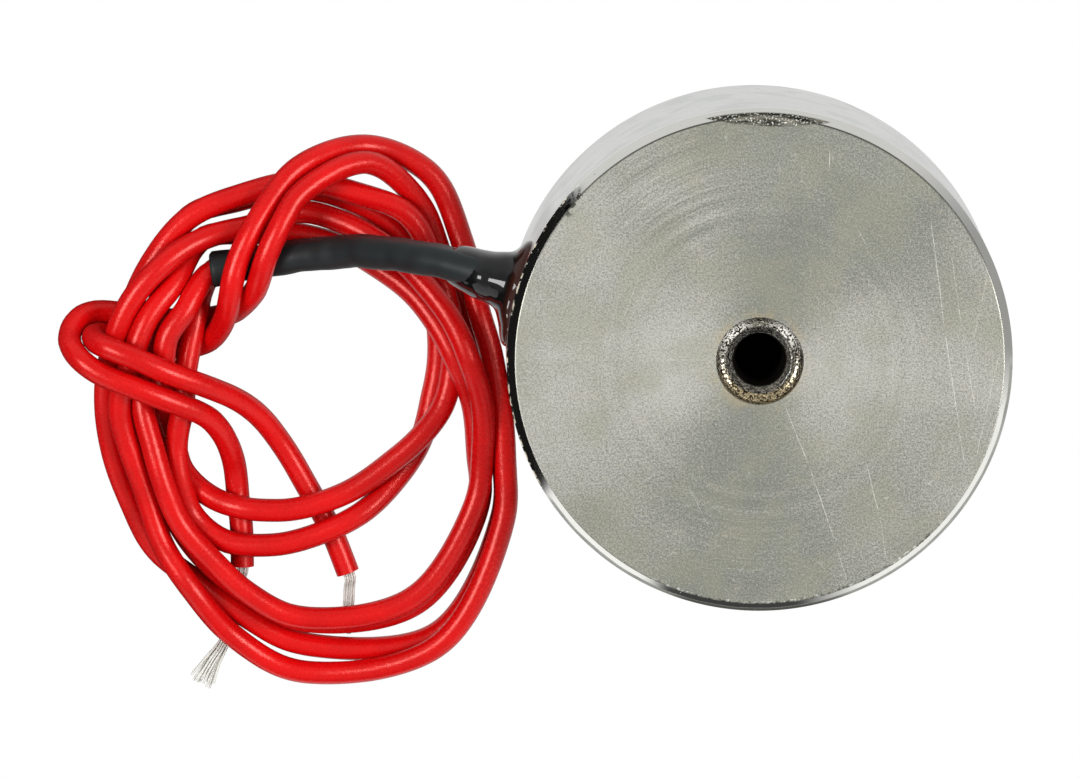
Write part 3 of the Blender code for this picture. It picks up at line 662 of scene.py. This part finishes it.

# Both faces: fine grain and ring marks that come and go, with a painted sheen that is lighter and
# darker by sectors, and darker towards the right
fine = steel.noise_along(r, 9000.0, 2.0)
broad = steel.noise_along(r, 1500.0, 3.0)
painted_sheen = (2 * angle + 0.35).cosine() * 0.5 + 0.5
grain = 0.6 * steel.between(steel.noise(place, 9000.0, 1.0), 0.32, 0.68)
grain = grain + 0.4 * steel.between(steel.noise(place, 5000.0, 2.0, 0.7), 0.28, 0.72)
blotch = steel.noise(place, 110.0, 2.0, 0.5)
patch = steel.between(steel.noise(place, 150.0, 2.0), 0.40, 0.62)
tone = 0.29 * painted_sheen + 0.18 * fine * patch + 0.10 * broad + 0.36 * grain + 0.18 * blotch
tone = tone - 0.07 * steel.between(x, 0.0, 14 * MM)


def distance_from(x_mm, y_mm):
    return ((x - x_mm * MM) ** 2 + (y - y_mm * MM) ** 2) ** 0.5


# Two places where the lathe's arcs show plainly, and a lighter one left of the hole
for arc_x, arc_y, wide, narrow in ((-6, 11.5, 0.5, 0.3), (-1.5, -11.5, 0.2, 0.35)):
    arcs = broad * wide + fine * narrow - (wide + narrow) / 2
    tone = tone + steel.between(distance_from(arc_x, arc_y), 5.0 * MM, 2.0 * MM) * arcs
tone = tone + 0.10 * steel.between(distance_from(-5, 0), 5.5 * MM, 1.5 * MM)
face = steel.mix(steel.between(tone, 0.22, 0.85), (0.235, 0.24, 0.21), (0.52, 0.515, 0.47))
warm = steel.between(steel.noise(place, 700.0, 5.0, 0.8), 0.57, 0.72) * 0.30
face = steel.mix(warm, face, (0.56, 0.50, 0.38))
olive = steel.between(steel.noise(place, 260.0, 3.0, 0.6), 0.38, 0.64) * 0.40
face = steel.mix(olive, face, (0.34, 0.34, 0.255))
oiled = steel.between(r, 3.9 * MM, 2.9 * MM) * steel.between(steel.noise(place, 900.0, 3.0), 0.4, 0.6)
face = steel.mix(oiled * 0.3, face, (0.50, 0.38, 0.20))

# Scratches on the back, each from one point to another in millimetres, with its width and strength
SCRATCHES = (
    (1.6, -2.8, 3.3, -7.0, 0.035, 0.60),
    (3.3, -7.0, 5.1, -12.2, 0.035, 0.55),
    (5.1, -12.2, 6.0, -15.2, 0.03, 0.40),
    (7.1, -6.6, 8.1, -10.6, 0.035, 0.45),
    (8.1, -10.6, 8.6, -13.7, 0.03, 0.45),
    (11.4, 9.8, 12.4, 2.1, 0.035, 0.45),
    (12.4, 2.1, 13.8, -7.3, 0.035, 0.45),
    (12.8, 7.4, 13.6, 2.0, 0.03, 0.40),
    (13.6, 2.0, 14.5, -3.5, 0.03, 0.35),
    (15.3, 6.0, 14.3, 1.4, 0.03, 0.40),
    (16.1, 0.6, 14.5, -6.8, 0.03, 0.40),
    (4.6, 14.5, 4.6, 12.5, 0.03, 0.45),
    (2.7, 13.8, 2.9, 12.2, 0.03, 0.40),
    (6.2, 9.5, 7.3, 7.5, 0.03, 0.35),
    (-8.0, 6.0, -9.5, 2.0, 0.03, 0.25),
    (-5.0, -8.0, -3.0, -12.0, 0.03, 0.25),
)
marks = None
waver = (steel.noise(place, 500.0, 3.0) - 0.5) * 0.12 * MM
for x1, y1, x2, y2, width, strength in SCRATCHES:
    length = sqrt((x2 - x1) ** 2 + (y2 - y1) ** 2)
    ux, uy = (x2 - x1) / length, (y2 - y1) / length
    along = (x - x1 * MM) * ux + (y - y1 * MM) * uy
    across = (y - y1 * MM) * ux - (x - x1 * MM) * uy + waver
    inside = steel.band(along, 0.0, 0.8 * MM, (length - 0.8) * MM, length * MM)
    mark = (1 - steel.between(across.absolute(), 0.2 * width * MM, width * MM)) * inside * strength
    marks = mark if marks is None else mark.math("MAXIMUM", marks, mark)
broken = steel.between(steel.noise(place, 1400.0, 3.0), 0.35, 0.6)
marks = marks * on_top * (0.4 + 0.6 * broken)

# Short hair marks, light and dark, where a noise meets its middle value
for seed, strength, shade in ((3.0, 0.14, (0.95, 0.95, 0.90)), (8.0, 0.16, (0.05, 0.05, 0.04))):
    moved = steel.node("ShaderNodeVectorMath", {"operation": "ADD"}, {0: place, 1: (seed, seed, 0.0)})
    level = (steel.noise(moved, 800.0, 1.0) - 0.5).absolute()
    short = steel.between(steel.noise(moved, 1100.0, 2.0), 0.60, 0.66)
    hair = (1 - steel.between(level, 0.002, 0.018)) * short * on_top * strength
    face = steel.mix(hair, face, shade)
face = steel.mix(marks, face, (0.95, 0.95, 0.88))

# The countersink: torn by the cutter, with painted highlights at its upper left and right, golden in
# front, with a dark lip and neck
in_sink = steel.between(r, 2.97 * MM, 2.93 * MM) * above_floor
cutter = steel.vector(angle * 0.9 * MM, r * 2.5, 0.0)
speck = steel.between(steel.noise(place, 7000.0, 2.0, 0.6), 0.36, 0.64)
chatter = steel.between(steel.noise(cutter, 4200.0, 3.0, 0.7) * 0.55 + speck * 0.45, 0.30, 0.56)
# Painted highlight: bright in the upper two of four lobes round the hole.
highlight_lobe = 0.5 - 0.5 * (4 * angle).cosine()
painted_highlight = steel.mix(highlight_lobe * steel.between(y, -1.2 * MM, 0.6 * MM), (0.48, 0.45, 0.38), (1.0, 0.98, 0.90))
sink = steel.mix(chatter, (0.035, 0.03, 0.025), painted_highlight)
gold = steel.mix(chatter, (0.05, 0.035, 0.015), (0.62, 0.48, 0.24))
sink = steel.mix(steel.between(y, 0.4 * MM, -2.4 * MM) * 0.6, sink, gold)
neck = steel.between(r, 2.34 * MM, 2.24 * MM)
sink = steel.mix(neck * 0.8, sink, steel.mix(speck, (0.02, 0.02, 0.018), (0.30, 0.30, 0.28)))
# A painted highlight: a thin white arc on the right, inside the countersink.
painted_highlight_arc = steel.band(r, 2.10 * MM, 2.14 * MM, 2.18 * MM, 2.22 * MM)
sink = steel.mix(painted_highlight_arc * steel.between(x, 1.3 * MM, 1.9 * MM), sink, (1.0, 1.0, 0.96))
lip = steel.between(r, 2.84 * MM, 2.90 * MM)
sink = steel.mix(lip * 0.6, sink, (0.03, 0.03, 0.025))
# Where the painted highlight is, the metal is made matte so that its light colour shows.
painted_highlight_matte = in_sink * highlight_lobe * steel.between(y, 0.2 * MM, 1.2 * MM) * chatter * (1 - neck)

# The bore below it, in painted shade: nearly black, as a deep hole is
in_bore = steel.between(r, 1.86 * MM, 1.80 * MM) * above_floor
bore_in_painted_shade = steel.mix(grain, (0.006, 0.006, 0.005), (0.03, 0.028, 0.022))

# The side: turning lines, smudges, nicks and a dark streak behind the glue
lines = steel.noise_along(z, 5200.0, 3.0)
scuff = steel.noise(steel.vector(angle * 9 * MM, 0.0, z * 1.5), 260.0, 3.0)
side_tone = steel.between(scuff * 0.45 + lines * 0.45 + grain * 0.1, 0.32, 0.68)
side = steel.mix(side_tone, (0.58, 0.60, 0.57), (0.80, 0.81, 0.79))
smudge = steel.between(steel.noise(place, 340.0, 3.0), 0.46, 0.62) * 0.5
side = steel.mix(smudge, side, (0.46, 0.49, 0.46))
streak = steel.between((angle - 2.60 + waver * 600).absolute(), 0.11, 0.02)
streak = streak * steel.between(z, 4 * MM, 9 * MM)
side = steel.mix(streak * 0.6, side, (0.22, 0.23, 0.21))
nicks = steel.between(steel.noise(place, 1500.0, 2.0), 0.70, 0.76)
side = steel.mix(nicks * 0.6, side, (0.20, 0.20, 0.18))
colour = steel.mix(on_top + on_foot, side, face)

# The rim is bright. Behind, its inner edge has a line of painted shade, and one stretch is torn and
# specked under a painted dark reflection
colour = steel.mix(on_rim * 0.8, colour, (0.97, 0.96, 0.91))
# Painted shade: a dark line along the chamfer's inner edge at the back.
painted_shade_crease = steel.band(r, POT_R - 0.66 * MM, POT_R - 0.61 * MM, POT_R - 0.55 * MM, POT_R - 0.50 * MM)
painted_shade_crease = painted_shade_crease * steel.between(y, 4.0 * MM, 8.0 * MM) * at_back * 0.85
colour = steel.mix(painted_shade_crease, colour, (0.04, 0.04, 0.035))
# Painted reflection: at the top of the back a stretch of the rim is painted dark, as the dark part of
# the room would show in it, with a torn, ragged edge and white specks.
torn_painted_dark = steel.between(r + 27.2 * MM * (angle - 1.541).cosine() + waver * 2, 43.0 * MM, 43.1 * MM)
torn_painted_dark = torn_painted_dark * steel.between(r, POT_R - 0.22 * MM, POT_R - 0.32 * MM) * at_back
ragged = steel.noise(steel.vector(angle * 5 * MM, r * 2, 0.0), 1600.0, 4.0, 0.7)
tear_painted_dark = steel.mix(steel.between(ragged, 0.4, 0.66), (0.03, 0.03, 0.022), (0.28, 0.27, 0.22))
tear_painted_dark = steel.mix(steel.between(speck, 0.88, 1.0) * 0.8, tear_painted_dark, (1.0, 1.0, 0.95))
colour = steel.mix(torn_painted_dark, colour, tear_painted_dark)

# In front its outer half has lost its shine, and a fine burr stands along its inner edge
dull = on_rim * steel.between(r + waver, POT_R - 0.25 * MM, POT_R - 0.18 * MM)
dull = dull * steel.between(y - 0.3 * x, -4.6 * MM, -5.6 * MM)
rubbed = steel.mix(ragged, (0.10, 0.10, 0.09), (0.50, 0.50, 0.46))
# Darker at the very front.
foremost = steel.between(y, -15.6 * MM, -16.3 * MM)
rubbed = steel.mix(foremost * 0.8, rubbed, (0.05, 0.05, 0.042))
colour = steel.mix(dull, colour, rubbed)
burred = steel.band(r, POT_R - 0.80 * MM, POT_R - 0.64 * MM, POT_R - 0.56 * MM, POT_R - 0.50 * MM)
burred = burred * steel.between(y - 0.2 * x, -12.6 * MM, -14.2 * MM) * at_back
burr = steel.noise(place, 4200.0, 2.0)
colour = steel.mix(burred * steel.between(burr, 0.58, 0.66) * 0.5, colour, (1.0, 1.0, 0.96))
colour = steel.mix(burred * steel.between(burr, 0.46, 0.38) * 0.7, colour, (0.05, 0.05, 0.045))

# At the left its outer corner has painted glints, and small bites reach into the face
painted_glint = on_rim * steel.between(r, POT_R - 0.12 * MM, POT_R - 0.06 * MM)
painted_glint = painted_glint * steel.between(x, -11 * MM, -13 * MM)
painted_glint = painted_glint * steel.between(steel.noise(place, 2200.0, 2.0), 0.50, 0.58) * (1 - dull)
colour = steel.mix(painted_glint, colour, (1.0, 0.90, 0.68))
bitten = steel.between(distance_from(-12.5, 10.6), 1.4 * MM, 0.6 * MM)
bitten = bitten * steel.between(r, POT_R - 1.2 * MM, POT_R - 0.7 * MM)
bitten = bitten * steel.between(steel.noise(place, 2600.0, 3.0), 0.50, 0.56) * at_back
colour = steel.mix(bitten * 0.85, colour, (0.03, 0.03, 0.025))

colour = steel.mix(in_sink, colour, sink)
steel.feed("Base Color", steel.mix(in_bore, colour, bore_in_painted_shade))
steel.feed("Metallic", 1 - 0.8 * dull - 0.75 * painted_highlight_matte - 0.7 * painted_glint)
roughness = 0.16 + 0.12 * scuff + on_top * (0.20 + 0.12 * grain)
roughness = roughness + in_sink * 0.10 + in_bore * 0.3 - on_rim * 0.10
steel.feed("Roughness", roughness)
relief = (fine * 0.3 * patch + broad * 0.15 + grain * 0.5) * on_top - marks * 0.6
relief = relief + chatter * in_sink * 4.0 + nicks * (1 - on_top) + torn_painted_dark * ragged * 3.0
steel.relief(relief, 0.010 * MM, 0.8)
pot.data.materials.append(steel.material)
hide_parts("pot")
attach(pot, "root")


# The thread in the hole: a ridge that winds up its wall, cut with a tap in the steel of the pot.
# Its colour is painted shade: nearly black, as deep in the hole.
THREAD_PITCH = 0.7 * MM
THREAD_CREST = 1.60 * MM
THREAD_STEPS = 48
low = HOLE_FLOOR + 0.4 * MM
turns_up = int((POT_H - SINK_DEPTH - 0.5 * MM - low) / THREAD_PITCH) - 1
root_r = HOLE_R + 0.02 * MM
tooth = [
    (root_r, low),
    (THREAD_CREST, low + 0.26 * MM),
    (THREAD_CREST, low + 0.34 * MM),
    (root_r, low + 0.6 * MM),
]
work = bmesh.new()
first = work.faces.new([work.verts.new((r, 0.0, z)) for r, z in tooth])
bmesh.ops.spin(
    work, geom=[first], cent=(0, 0, 0), axis=(0, 0, 1), dvec=(0, 0, THREAD_PITCH / THREAD_STEPS),
    angle=2 * pi * turns_up, steps=THREAD_STEPS * turns_up, use_duplicate=False,
)
bmesh.ops.recalc_face_normals(work, faces=work.faces)
thread = new_object("thread", work)
tapped = Finish("tapped_steel", Metallic=1.0, Roughness=0.4)
shade_mottle = tapped.noise(tapped.place(), 900.0)
tapped.feed("Base Color", tapped.mix(shade_mottle, (0.015, 0.015, 0.013), (0.05, 0.045, 0.04)))
thread.data.materials.append(tapped.material)
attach(thread, "root")


# The pieces inside: a moulded bobbin with its winding and tape, the soldered joints to the leads
# and the cast resin. They keep their solids. Only the resin shows, from below.
INNER = (
    ("bobbin_nylon", (0.62, 0.60, 0.52), 0.5, 0.0, 600.0, ("bobbin",)),
    (
        "enamelled_copper", (0.60, 0.22, 0.09), 0.3, 1.0, 3000.0,
        ("winding", "start_wire", "finish_wire"),
    ),
    ("polyester_tape", (0.75, 0.60, 0.16), 0.4, 0.0, 900.0, ("winding_tape",)),
    ("cast_resin", (0.022, 0.022, 0.024), 0.3, 0.0, 900.0, ("potting_resin",)),
    ("solder", (0.62, 0.62, 0.60), 0.35, 1.0, 2500.0, ("start_splice", "finish_splice")),
    (
        "splice_tubing", (0.02, 0.025, 0.027), 0.5, 0.0, 1500.0,
        ("start_splice_sleeve", "finish_splice_sleeve"),
    ),
)
for name, colour, roughness, metallic, scale, nodes in INNER:
    finish = Finish(name, Metallic=metallic)
    texture = finish.noise(finish.place(), scale, 3.0)
    darker = tuple(0.85 * v for v in colour)
    lighter = tuple(min(1.0, 1.15 * v) for v in colour)
    finish.feed("Base Color", finish.mix(texture, darker, lighter))
    finish.feed("Roughness", roughness - 0.05 + 0.1 * texture)
    finish.relief(texture, 0.02 * MM, 0.4)
    for node in nodes:
        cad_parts[node].data.materials.clear()
        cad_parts[node].data.materials.append(finish.material)


# The stage: a white floor that the camera sees as pure white, two soft lamps and a bright room with
# dark stretches. The steel mirrors the room, in the floor too, except close round the part.
FLOOR_DROP = 0.05 * MM
NEAR_FLOOR = 26 * MM
FAR_FLOOR = 40 * MM
# Light from round the horizon, by compass angle as a share of a turn that begins at the left and
# goes round by the front. The rim's chamfer mirrors it: black at the left, bright at the lower left
# and dark again in front and behind
HORIZON = (
    (0.0, 0.008), (0.100, 0.008), (0.107, 1.0), (0.184, 1.0), (0.198, 0.05), (0.278, 0.05),
    (0.290, 0.35), (0.315, 0.95), (0.45, 0.95), (0.49, 0.34), (0.57, 0.34), (0.64, 0.64),
    (0.886, 0.66), (0.899, 0.008),
)
OVERHEAD = 0.42


def horizon_light(nodes, towards):
    """The light that comes from a direction, by its compass angle only."""
    x, y, _ = nodes.axes(towards)
    compass = nodes.node("ShaderNodeMath", {"operation": "ARCTAN2"}, {0: y, 1: x})
    share = nodes.node("ShaderNodeMapRange", {}, {0: compass, 1: -pi, 2: pi, 3: 0.0, 4: 1.0})
    return nodes.node("ShaderNodeValToRGB", {"stops": HORIZON}, {0: share})


work = bmesh.new()
bmesh.ops.create_grid(work, x_segments=1, y_segments=1, size=1.0)
bmesh.ops.translate(work, vec=(0, 0, -FLOOR_DROP), verts=work.verts)
floor = new_object("floor", work)

white = bpy.data.materials.new("white_floor")
white.use_nodes = True
ground = Nodes(white.node_tree)
ground.tree.nodes.remove(ground.tree.nodes["Principled BSDF"])
where = ground.place()
far = ground.node("ShaderNodeVectorMath", {"operation": "LENGTH"}, {0: where}, "Value")
near = ground.between(far, FAR_FLOOR, NEAR_FLOOR)
room_light = ground.mix(near, horizon_light(ground, where), (0.80, 0.80, 0.80))
mirrored = ground.node("ShaderNodeEmission", {}, {"Color": room_light})
seen = ground.node("ShaderNodeEmission")
lit = ground.node("ShaderNodeBsdfDiffuse", {}, {"Color": (0.7, 0.7, 0.7, 1.0)})
mirror_ray = ground.node("ShaderNodeLightPath", output="Is Glossy Ray")
camera_ray = ground.node("ShaderNodeLightPath", output="Is Camera Ray")
by_mirror = ground.node("ShaderNodeMixShader", {}, {0: mirror_ray, 1: lit, 2: mirrored})
by_camera = ground.node("ShaderNodeMixShader", {}, {0: camera_ray, 1: by_mirror, 2: seen})
ground.link(by_camera, "Material Output", "Surface")
floor.data.materials.append(white)

scene.world = bpy.data.worlds.new("room")
scene.world.use_nodes = True
room = Nodes(scene.world.node_tree)
around = room.node("ShaderNodeTexCoord", output="Generated")
overhead = room.between(room.axes(around)[2], 0.25, 0.75)
sky = room.mix(overhead, horizon_light(room, around), (OVERHEAD, OVERHEAD, OVERHEAD))
room.link(sky, "Background", "Color")

LAMP_SIZE = 0.36
LAMP_POWER = 5.0
LAMP_Y = 0.10
LAMP_Z = 0.75
for name, lamp_x in (("lamp_left", -0.55), ("lamp_right", 0.55)):
    lamp = bpy.data.lights.new(name, "AREA")
    lamp.shape = "SQUARE"
    lamp.size = LAMP_SIZE
    lamp.energy = LAMP_POWER
    made = bpy.data.objects.new(name, lamp)
    scene.collection.objects.link(made)
    made.location = (lamp_x, LAMP_Y, LAMP_Z)
    made.rotation_euler = (-made.location).to_track_quat("-Z", "Y").to_euler()


# The camera: it looks almost straight down on the back of the pot through a very long lens, with
# the picture's right along X and its top along Y.
SENSOR = 36.0
LENS = 376.7
VIEW_CENTRE = Vector((-14.6, -4.0, 0.0)) * MM
VIEW_DISTANCE = 776.6 * MM
VIEW_TILT = radians(6.71)
VIEW_SWING = radians(4.3)
CLIP_START = 50 * MM

camera = bpy.data.objects.new("camera", bpy.data.cameras.new("camera"))
scene.collection.objects.link(camera)
camera.data.sensor_width = SENSOR
camera.data.lens = LENS
camera.data.clip_start = CLIP_START
level = sin(VIEW_TILT)
back = Vector((-level * sin(VIEW_SWING), level * cos(VIEW_SWING), cos(VIEW_TILT)))
right = (Vector((1, 0, 0)) - back * back.x).normalized()
turned = Matrix((right, back.cross(right), back)).transposed().to_4x4()
camera.matrix_world = Matrix.Translation(VIEW_CENTRE + back * VIEW_DISTANCE) @ turned
scene.camera = camera
scene.view_settings.view_transform = "Standard"
